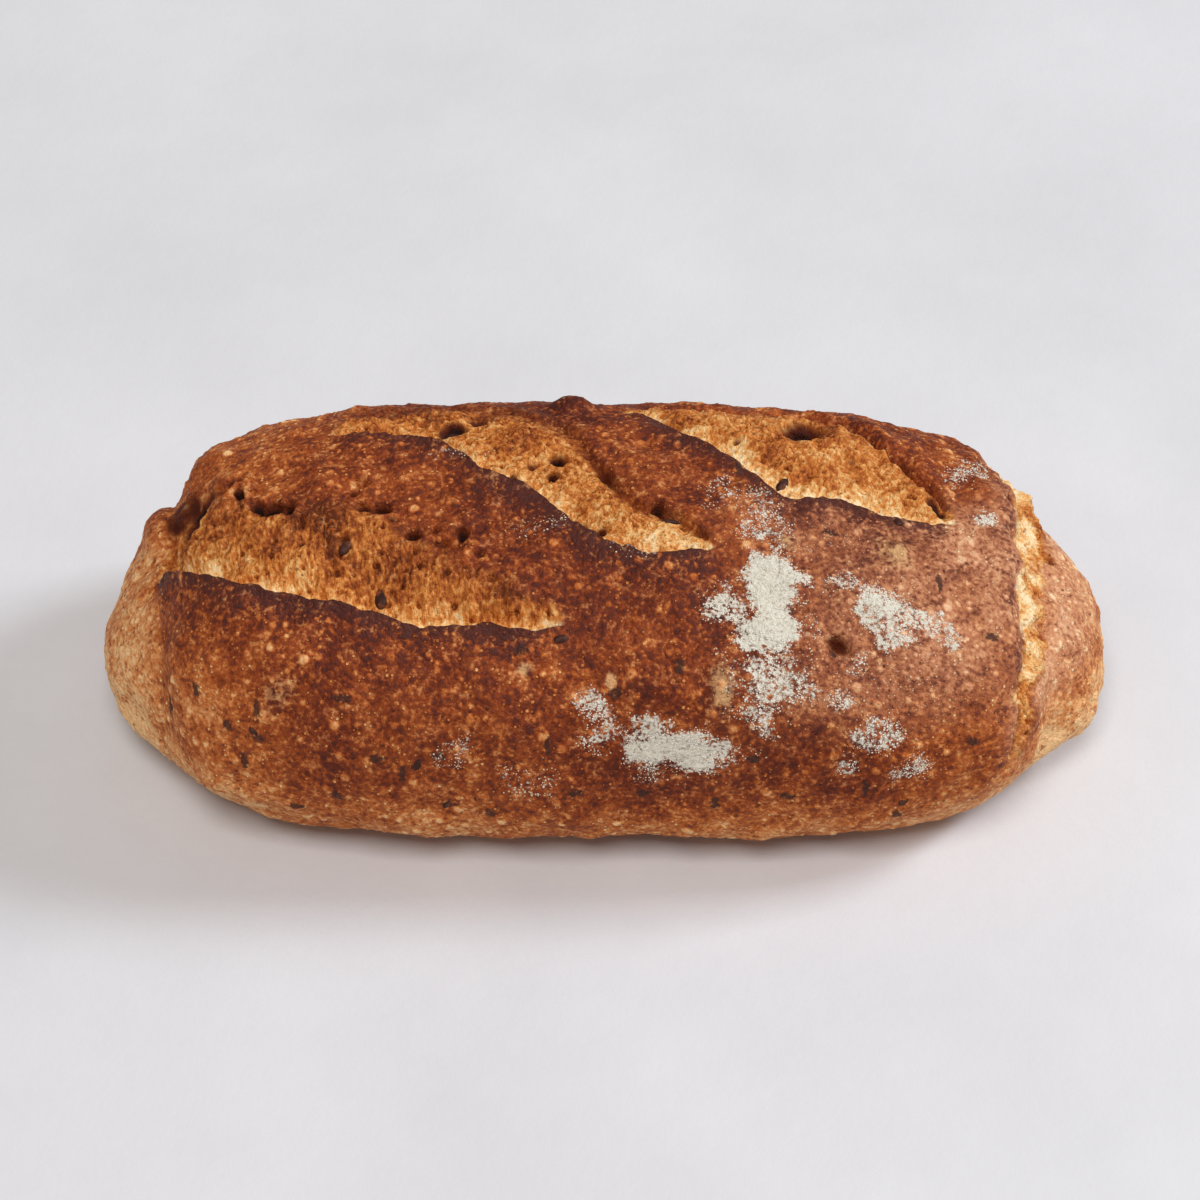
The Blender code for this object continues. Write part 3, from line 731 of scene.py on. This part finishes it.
def scaled(tree, value, factor, plus=0.0, clamp=False):
    """The value times the factor, plus something."""
    return math_node(tree, "MULTIPLY_ADD", value, factor, plus, clamp)


def mask(tree, name):
    """The mesh's own mask of this name."""
    return node(tree, "ShaderNodeAttribute", attribute_name=name).outputs["Fac"]


def eased(tree, value, low, high):
    """0 below low, 1 above high, and an S between them."""
    span = {"Value": value, "From Min": low, "From Max": high}
    return node(tree, "ShaderNodeMapRange", span, interpolation_type="SMOOTHSTEP").outputs["Result"]


def linear(red, green, blue):
    """A colour given as it looks on a screen, 0 to 255, as linear light with full alpha."""
    light = [c / 255 / 12.92 if c < 11 else ((c / 255 + 0.055) / 1.055) ** 2.4 for c in (red, green, blue)]
    return (*light, 1.0)


def colour_ramp(tree, value, stops):
    """The colour that this value picks from a ramp of (place, screen colour) stops."""
    ramp = node(tree, "ShaderNodeValToRGB", {"Fac": value})
    elements = ramp.color_ramp.elements
    while len(elements) < len(stops):
        elements.new(0.5)
    for element, (place, colour) in zip(elements, stops):
        element.position = place
        element.color = linear(*colour)
    return ramp.outputs["Color"]


def mixed(tree, share, first, second):
    """The first colour turned towards the second by this share."""
    return node(tree, "ShaderNodeMix", {0: share, 6: first, 7: second}, data_type="RGBA").outputs[2]


def object_noise(tree, scale, detail, roughness):
    """Noise from 0 to 1 on the object's own coordinates, at so many to a metre."""
    place = node(tree, "ShaderNodeTexCoord").outputs["Object"]
    inputs = {"Vector": place, "Scale": scale, "Detail": detail, "Roughness": roughness}
    return node(tree, "ShaderNodeTexNoise", inputs).outputs["Fac"]


def object_cells(tree, scale):
    """Distance and colour of cells on the object's own coordinates, at so many to a metre."""
    place = node(tree, "ShaderNodeTexCoord").outputs["Object"]
    made = node(tree, "ShaderNodeTexVoronoi", {"Vector": place, "Scale": scale})
    return made.outputs["Distance"], made.outputs["Color"]


def flour_group():
    """Flour lying in grains: cover goes in, and the grains' mask and colour come out."""
    outputs = (("Mask", "NodeSocketFloat"), ("Color", "NodeSocketColor"))
    group, inlet, outlet = shader_group("flour grains", (("Cover", "NodeSocketFloat"),), outputs)
    coarse = object_noise(group, 1150, 4.0, 0.72)
    clumps = object_noise(group, 330, 2.0, 0.5)
    grain = scaled(group, math_node(group, "SUBTRACT", coarse, 0.5), 1.7, 0.5)
    grain = scaled(group, math_node(group, "SUBTRACT", clumps, 0.5), 0.7, grain)
    gate = scaled(group, inlet.outputs["Cover"], 1.0, math_node(group, "SUBTRACT", grain, 1.08))
    colour = colour_ramp(group, coarse, (
        (0.3, (188, 177, 156)), (0.5, (211, 204, 188)), (0.7, (225, 220, 207)),
    ))
    group.links.new(eased(group, gate, -0.08, 0.2), outlet.inputs["Mask"])
    group.links.new(colour, outlet.inputs["Color"])
    return group


def skin_group():
    """The mottling of baked dough: how dark it is here, its pale dots, dark specks and fine grain."""
    labels = ("Shift", "Dots", "Specks", "Grain")
    group, _, outlet = shader_group("baked skin", (), [(label, "NodeSocketFloat") for label in labels])
    mottle = math_node(group, "SUBTRACT", object_noise(group, 260, 2.0, 0.6), 0.5)
    grain = math_node(group, "SUBTRACT", object_noise(group, 880, 2.0, 0.6), 0.5)
    shift = scaled(group, mottle, 0.6, math_node(group, "MULTIPLY", grain, 0.95))
    distance, tint = object_cells(group, 820)
    chance = node(group, "ShaderNodeSeparateColor", {"Color": tint})
    reach = scaled(group, chance.outputs["Red"], 0.42)
    dot = eased(group, math_node(group, "SUBTRACT", reach, distance), 0.0, 0.16)
    pale = eased(group, chance.outputs["Green"], 0.2, 0.55)
    dark = eased(group, chance.outputs["Green"], 0.2, 0.1)
    pale, dark = math_node(group, "MULTIPLY", dot, pale), math_node(group, "MULTIPLY", dot, dark)
    for label, socket in zip(labels, (shift, pale, dark, grain)):
        group.links.new(socket, outlet.inputs[label])
    return group


def new_material(name, colour):
    """A material with its Principled shader and the colour it has in a plain view."""
    material = bpy.data.materials.new(name)
    material.use_nodes = True
    material.diffuse_color = linear(*colour)
    return material, material.node_tree, material.node_tree.nodes["Principled BSDF"]


def strand_noise(tree):
    """Noise about 0 on the mesh's own strand coordinates, in mm, drawn out along the strands."""
    place = node(tree, "ShaderNodeAttribute", attribute_name="strand_place").outputs["Vector"]
    drawn = node(tree, "ShaderNodeVectorMath", {0: place, 1: STRAND_STRETCH}, operation="MULTIPLY").outputs[0]
    inputs = {"Vector": drawn, "Scale": 1.0, "Detail": 2.0, "Roughness": 0.6}
    return math_node(tree, "SUBTRACT", node(tree, "ShaderNodeTexNoise", inputs).outputs["Fac"], 0.5)


def crust_material(flour, skin):
    """Baked crust and torn crumb: ramps of browning picked by the masks, and what lies on them."""
    material, tree, shader = new_material("baked crust", (140, 78, 45))
    mottle = node(tree, "ShaderNodeGroup", node_tree=skin).outputs
    burn, film, buried, dark = (mask(tree, name) for name in ("burn", "film", "buried", "dark"))
    pale = math_node(tree, "MAXIMUM", mask(tree, "blister"), scaled(tree, mottle["Dots"], 0.85))
    calm = scaled(tree, film, -0.4, 1.0)
    bake = scaled(tree, mottle["Shift"], calm, mask(tree, "bake"))
    bake = scaled(tree, burn, 0.18, bake)
    speckle = math_node(tree, "MULTIPLY", mottle["Grain"], film)
    bake = scaled(tree, speckle, 0.6, bake)
    bake = scaled(tree, pale, -0.48, bake, clamp=True)
    crust = colour_ramp(tree, bake, (
        (0.0, (240, 192, 136)), (0.2, (218, 148, 90)), (0.4, (188, 104, 48)), (0.6, (148, 69, 29)),
        (0.8, (108, 45, 24)), (1.0, (72, 32, 26)),
    ))
    dusted = colour_ramp(tree, bake, (
        (0.0, (248, 218, 182)), (0.2, (232, 186, 146)), (0.4, (214, 157, 119)), (0.6, (191, 128, 91)),
        (0.8, (152, 90, 63)), (1.0, (106, 58, 43)),
    ))
    crust = mixed(tree, scaled(tree, mottle["Grain"], 0.8, film, clamp=True), crust, dusted)
    scorch = scaled(tree, pale, -0.5, burn)
    scorch = eased(tree, scaled(tree, mottle["Shift"], 2.2, scorch), 0.1, 1.0)
    crust = mixed(tree, scaled(tree, scorch, 0.82), crust, linear(80, 42, 36))
    toast = scaled(tree, strand_noise(tree), 0.62, mask(tree, "toast"))
    toast = scaled(tree, mottle["Shift"], 0.6, toast, clamp=True)
    crumb = colour_ramp(tree, toast, (
        (0.0, (248, 222, 178)), (0.25, (230, 178, 112)), (0.5, (201, 122, 55)), (0.75, (154, 78, 32)),
        (1.0, (92, 42, 20)),
    ))
    base = mixed(tree, mask(tree, "torn"), crust, crumb)
    kernel = eased(tree, scaled(tree, mottle["Shift"], -1.8, mask(tree, "kernel")), 0.05, 1.0)
    base = mixed(tree, scaled(tree, kernel, 0.72), base, linear(220, 174, 122))
    base = mixed(tree, scaled(tree, mottle["Specks"], 0.7), base, linear(70, 34, 22))
    murk = scaled(tree, mottle["Grain"], 1.6, buried)
    under = eased(tree, buried, 0.05, 0.4)
    murk = math_node(tree, "MULTIPLY", eased(tree, murk, 0.15, 0.7), under)
    base = mixed(tree, scaled(tree, murk, 0.85), base, linear(64, 40, 34))
    # Painted shade from the dark mask in bubbles, folds, creases and grooves: red-brown, near black where
    # deepest
    depth = mixed(tree, eased(tree, dark, 0.6, 1.15), linear(86, 34, 15), linear(30, 12, 8))
    base = mixed(tree, eased(tree, dark, 0.1, 0.75), base, depth)
    dust = node(tree, "ShaderNodeGroup", {"Cover": mask(tree, "flour")}, node_tree=flour).outputs
    base = mixed(tree, dust["Mask"], base, dust["Color"])
    tree.links.new(base, shader.inputs["Base Color"])
    gloss = scaled(tree, burn, -0.15, 0.6)
    tree.links.new(scaled(tree, dust["Mask"], 0.3, gloss, clamp=True), shader.inputs["Roughness"])
    pitted = scaled(tree, mottle["Dots"], 0.35, mottle["Grain"])
    bump = node(tree, "ShaderNodeBump", {"Height": pitted, "Strength": 1.0, "Distance": 0.001})
    tree.links.new(bump.outputs["Normal"], shader.inputs["Normal"])
    shader.inputs["Specular IOR Level"].default_value = 0.1
    return material


def seed_material(skin):
    """Linseed skin: dark brown and a little glossy, with crust baked on to it here and there."""
    material, tree, shader = new_material("linseed", (60, 36, 30))
    mottle = node(tree, "ShaderNodeGroup", node_tree=skin).outputs
    coat = object_noise(tree, 520, 2.0, 0.5)
    shade = colour_ramp(tree, scaled(tree, mottle["Grain"], 0.6, coat), (
        (0.3, (46, 24, 20)), (0.5, (66, 36, 28)), (0.62, (92, 50, 34)), (0.75, (126, 66, 36)),
    ))
    tree.links.new(shade, shader.inputs["Base Color"])
    shader.inputs["Roughness"].default_value = 0.55
    shader.inputs["Specular IOR Level"].default_value = 0.16
    return material


def grain_material():
    """Flour: warm white where it lies thick, and tan where grains lie alone; matt."""
    material, tree, shader = new_material("flour", (224, 217, 201))
    shade = colour_ramp(tree, mask(tree, "tone"), (
        (0.0, (186, 140, 104)), (0.5, (212, 188, 154)), (1.0, (230, 225, 212)),
    ))
    tree.links.new(shade, shader.inputs["Base Color"])
    shader.inputs["Roughness"].default_value = 0.9
    shader.inputs["Specular IOR Level"].default_value = 0.1
    return material


def plaster_material():
    """The floor: pale grey plaster with faint cloudy patches."""
    material, tree, shader = new_material("pale plaster", (222, 220, 220))
    cloud = object_noise(tree, 9, 5.0, 0.6)
    colour = colour_ramp(tree, cloud, ((0.3, (208, 207, 210)), (0.7, (219, 218, 221))))
    tree.links.new(colour, shader.inputs["Base Color"])
    shader.inputs["Roughness"].default_value = 0.85
    grit = object_noise(tree, 160, 6.0, 0.7)
    bump = node(tree, "ShaderNodeBump", {"Height": grit, "Strength": 0.25, "Distance": 0.0008})
    tree.links.new(bump.outputs["Normal"], shader.inputs["Normal"])
    return material


def seed_outline():
    """A linseed's corners and triangles: a flat oval, drawn to a point at one end."""
    rings, sides = 7, 10
    along = -np.cos(np.linspace(0, math.pi, rings + 1))[1:-1]
    fat = np.sqrt(1 - along**2) * (1 - 0.25 * along)
    turn = np.linspace(0, 2 * math.pi, sides, endpoint=False)
    x = np.repeat(along[:, None], sides, 1) * SEED_LENGTH / 2
    y = fat[:, None] * np.cos(turn) * SEED_WIDTH / 2
    z = fat[:, None] * np.sin(turn) * SEED_THICKNESS / 2
    ends = [[-SEED_LENGTH / 2, 0, 0], [SEED_LENGTH / 2, 0, 0]]
    corners = np.concatenate([np.stack([x, y, z], -1).reshape(-1, 3), ends])
    tip = (rings - 1) * sides
    ring = np.arange(tip).reshape(rings - 1, sides)
    after = np.roll(ring, -1, 1)
    cells = cell_triangles(ring[:-1], after[:-1], after[1:], ring[1:])
    first = np.stack([0 * ring[0] + tip, after[0], ring[0]], -1)
    second = np.stack([0 * ring[0] + tip + 1, ring[-1], after[-1]], -1)
    return corners, np.concatenate([cells, first, second])[:, ::-1]


def strewn_mesh(name, corners, triangles, places, normals, spins, sizes, tones):
    """Copies of a small shape in one mesh, each on its normal, with its own turn, size and tone."""
    side = np.cross(normals, np.where(np.abs(normals[:, :1]) < 0.9, (1.0, 0, 0), (0, 1.0, 0)))
    side /= np.linalg.norm(side, axis=1, keepdims=True)
    other = np.cross(normals, side)
    c, s = np.cos(spins)[:, None], np.sin(spins)[:, None]
    u, v = side * c + other * s, other * c - side * s
    frames = np.stack([u, v, normals], 1) * sizes[:, None, None]
    everything = places[:, None] + np.einsum("pj,njk->npk", corners, frames)
    offsets = np.arange(len(places))[:, None, None] * len(corners)
    faces = (triangles[None] + offsets).reshape(-1, 3)
    return triangle_mesh(name, everything.reshape(-1, 3), faces, {"tone": np.repeat(tones, len(corners))})


def make_seeds(points, normals):
    """The linseeds that show, each sunk into the crust at the surface point nearest its place."""
    draw = np.random.default_rng(RANDOM_SEED + 1)
    flat, flat_normals = points.reshape(-1, 3), normals.reshape(-1, 3)
    nearest = [int(np.argmin(((flat - seed[:3]) ** 2).sum(axis=1))) for seed in SEEDS_SEEN]
    stands = flat_normals[nearest]
    count = len(nearest)
    sizes = draw.uniform(0.8, 1.08, count)
    turn, sunk = np.array(SEEDS_SEEN)[:, 3:].T
    places = flat[nearest] - sunk[:, None] * stands
    spins = np.radians(turn - 90)
    mesh = strewn_mesh("linseeds", *seed_outline(), places, stands, spins, sizes, draw.random(count))
    return link("linseeds", mesh)


def grain_outline():
    """A flour grain's corners and triangles: a low lump of two rings between two points."""
    turn = np.arange(5) * 2 * math.pi / 5
    lower = np.stack([np.cos(turn), np.sin(turn), 0 * turn - 0.2], -1)
    upper = np.stack([0.8 * np.cos(turn + 0.6), 0.8 * np.sin(turn + 0.6), 0 * turn + 0.4], -1)
    corners = np.concatenate([[[0, 0, -0.5]], lower, upper, [[0, 0, 0.75]]])
    a = np.arange(5)
    b = (a + 1) % 5
    triangles = np.concatenate([
        np.stack([0 * a, b + 1, a + 1], -1), np.stack([a + 1, b + 1, a + 6], -1),
        np.stack([b + 1, b + 6, a + 6], -1), np.stack([a + 6, b + 6, 0 * a + 11], -1),
    ])
    return corners, triangles


def make_flour_grains(points, normals, flour):
    """Flour grains and small clumps at true size, strewn at random, more where flour is thick."""
    draw = np.random.default_rng(RANDOM_SEED + 2)
    along, around = np.gradient(points, axis=0), (np.roll(points, -1, 1) - np.roll(points, 1, 1)) / 2
    area = np.linalg.norm(np.cross(along, around), axis=-1)
    thick = np.clip((flour - 0.05) / 0.6, 0, 1) ** 1.4
    clumped = np.clip(0.5 + 1.2 * layered(points, 2.4, 91), 0.05, 1.5)
    picked = draw.random(area.shape) < GRAINS_PER_AREA * area * thick * clumped
    stands = normals[picked]
    count = len(stands)
    aside = draw.uniform(-0.5, 0.5, (2, count, 1))
    places = points[picked] + aside[0] * along[picked] + aside[1] * around[picked]
    sizes = draw.uniform(0.1, 0.19, count) * draw.uniform(0.8, 1.5, count)
    tones = np.clip(1.3 * thick[picked] + draw.uniform(-0.3, 0.45, count), 0, 1)
    spins = draw.uniform(0, 6.3, count)
    mesh = strewn_mesh("flour_grains", *grain_outline(), places, stands, spins, sizes, tones)
    return link("flour_grains", mesh)


def make_stage():
    """A plain plaster floor under the loaf."""
    bpy.ops.mesh.primitive_plane_add(size=FLOOR_SIZE)
    floor = bpy.context.object
    floor.name = "floor"
    floor.data.materials.append(plaster_material())


def look_at(thing, place, target):
    """Stands a camera or a light at a place, turned to a target with its top upwards."""
    thing.location = Vector(place) * MM
    thing.rotation_euler = (Vector(target) - Vector(place)).to_track_quat("-Z", "Y").to_euler()


def make_camera():
    """The camera at the photograph's angle, above the table and square to the loaf's long side."""
    camera = link("camera", bpy.data.cameras.new("camera"))
    camera.data.lens = LENS
    camera.data.sensor_width = SENSOR
    camera.data.clip_start = 0.01
    angle = math.radians(CAMERA_HEIGHT_ANGLE)
    place = (AIM[0], AIM[1] - CAMERA_DISTANCE * math.cos(angle), AIM[2] + CAMERA_DISTANCE * math.sin(angle))
    look_at(camera, place, AIM)
    bpy.context.scene.camera = camera


def area_light(name, place, size, power, colour):
    """A soft square light that faces the loaf."""
    light = link(name, bpy.data.lights.new(name, "AREA"))
    light.data.size = size * MM
    light.data.energy = power
    light.data.color = colour
    look_at(light, place, LIGHT_AIM)


def make_lights():
    """A soft key from the right and behind, a wide fill from the front, and a warm surround."""
    area_light("key", *KEY_LIGHT)
    area_light("fill", *FILL_LIGHT)
    world = bpy.data.worlds.new("surround")
    world.use_nodes = True
    background = world.node_tree.nodes["Background"]
    background.inputs["Color"].default_value = SURROUND_COLOUR
    background.inputs["Strength"].default_value = SURROUND_STRENGTH
    bpy.context.scene.world = world
    bpy.context.scene.view_settings.view_transform = "Standard"


def main():
    make_camera()
    make_lights()
    make_stage()
    points, masks = surface()
    points = points - middle_in_plan(points)
    normals = grid_normals(points)
    flour, skin = flour_group(), skin_group()
    crust = crust_material(flour, skin)
    columns = points.shape[1]
    limit = PIECE_TRIANGLES // (2 * points.shape[0])
    bands = math.ceil(columns / limit)
    edges = np.linspace(0, columns, bands + 1).round().astype(int)
    for number, (first, last) in enumerate(zip(edges[:-1], edges[1:])):
        name = f"crust_{number + 1}"
        band = link(name, band_mesh(name, points, normals, masks, first, last))
        band.data.materials.append(crust)
        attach(band, "root")
        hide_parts("loaf")
    seeds = make_seeds(points, normals)
    seeds.data.materials.append(seed_material(skin))
    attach(seeds, "root")
    grains = make_flour_grains(points, normals, masks["flour"])
    grains.data.materials.append(grain_material())
    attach(grains, "root")


main()
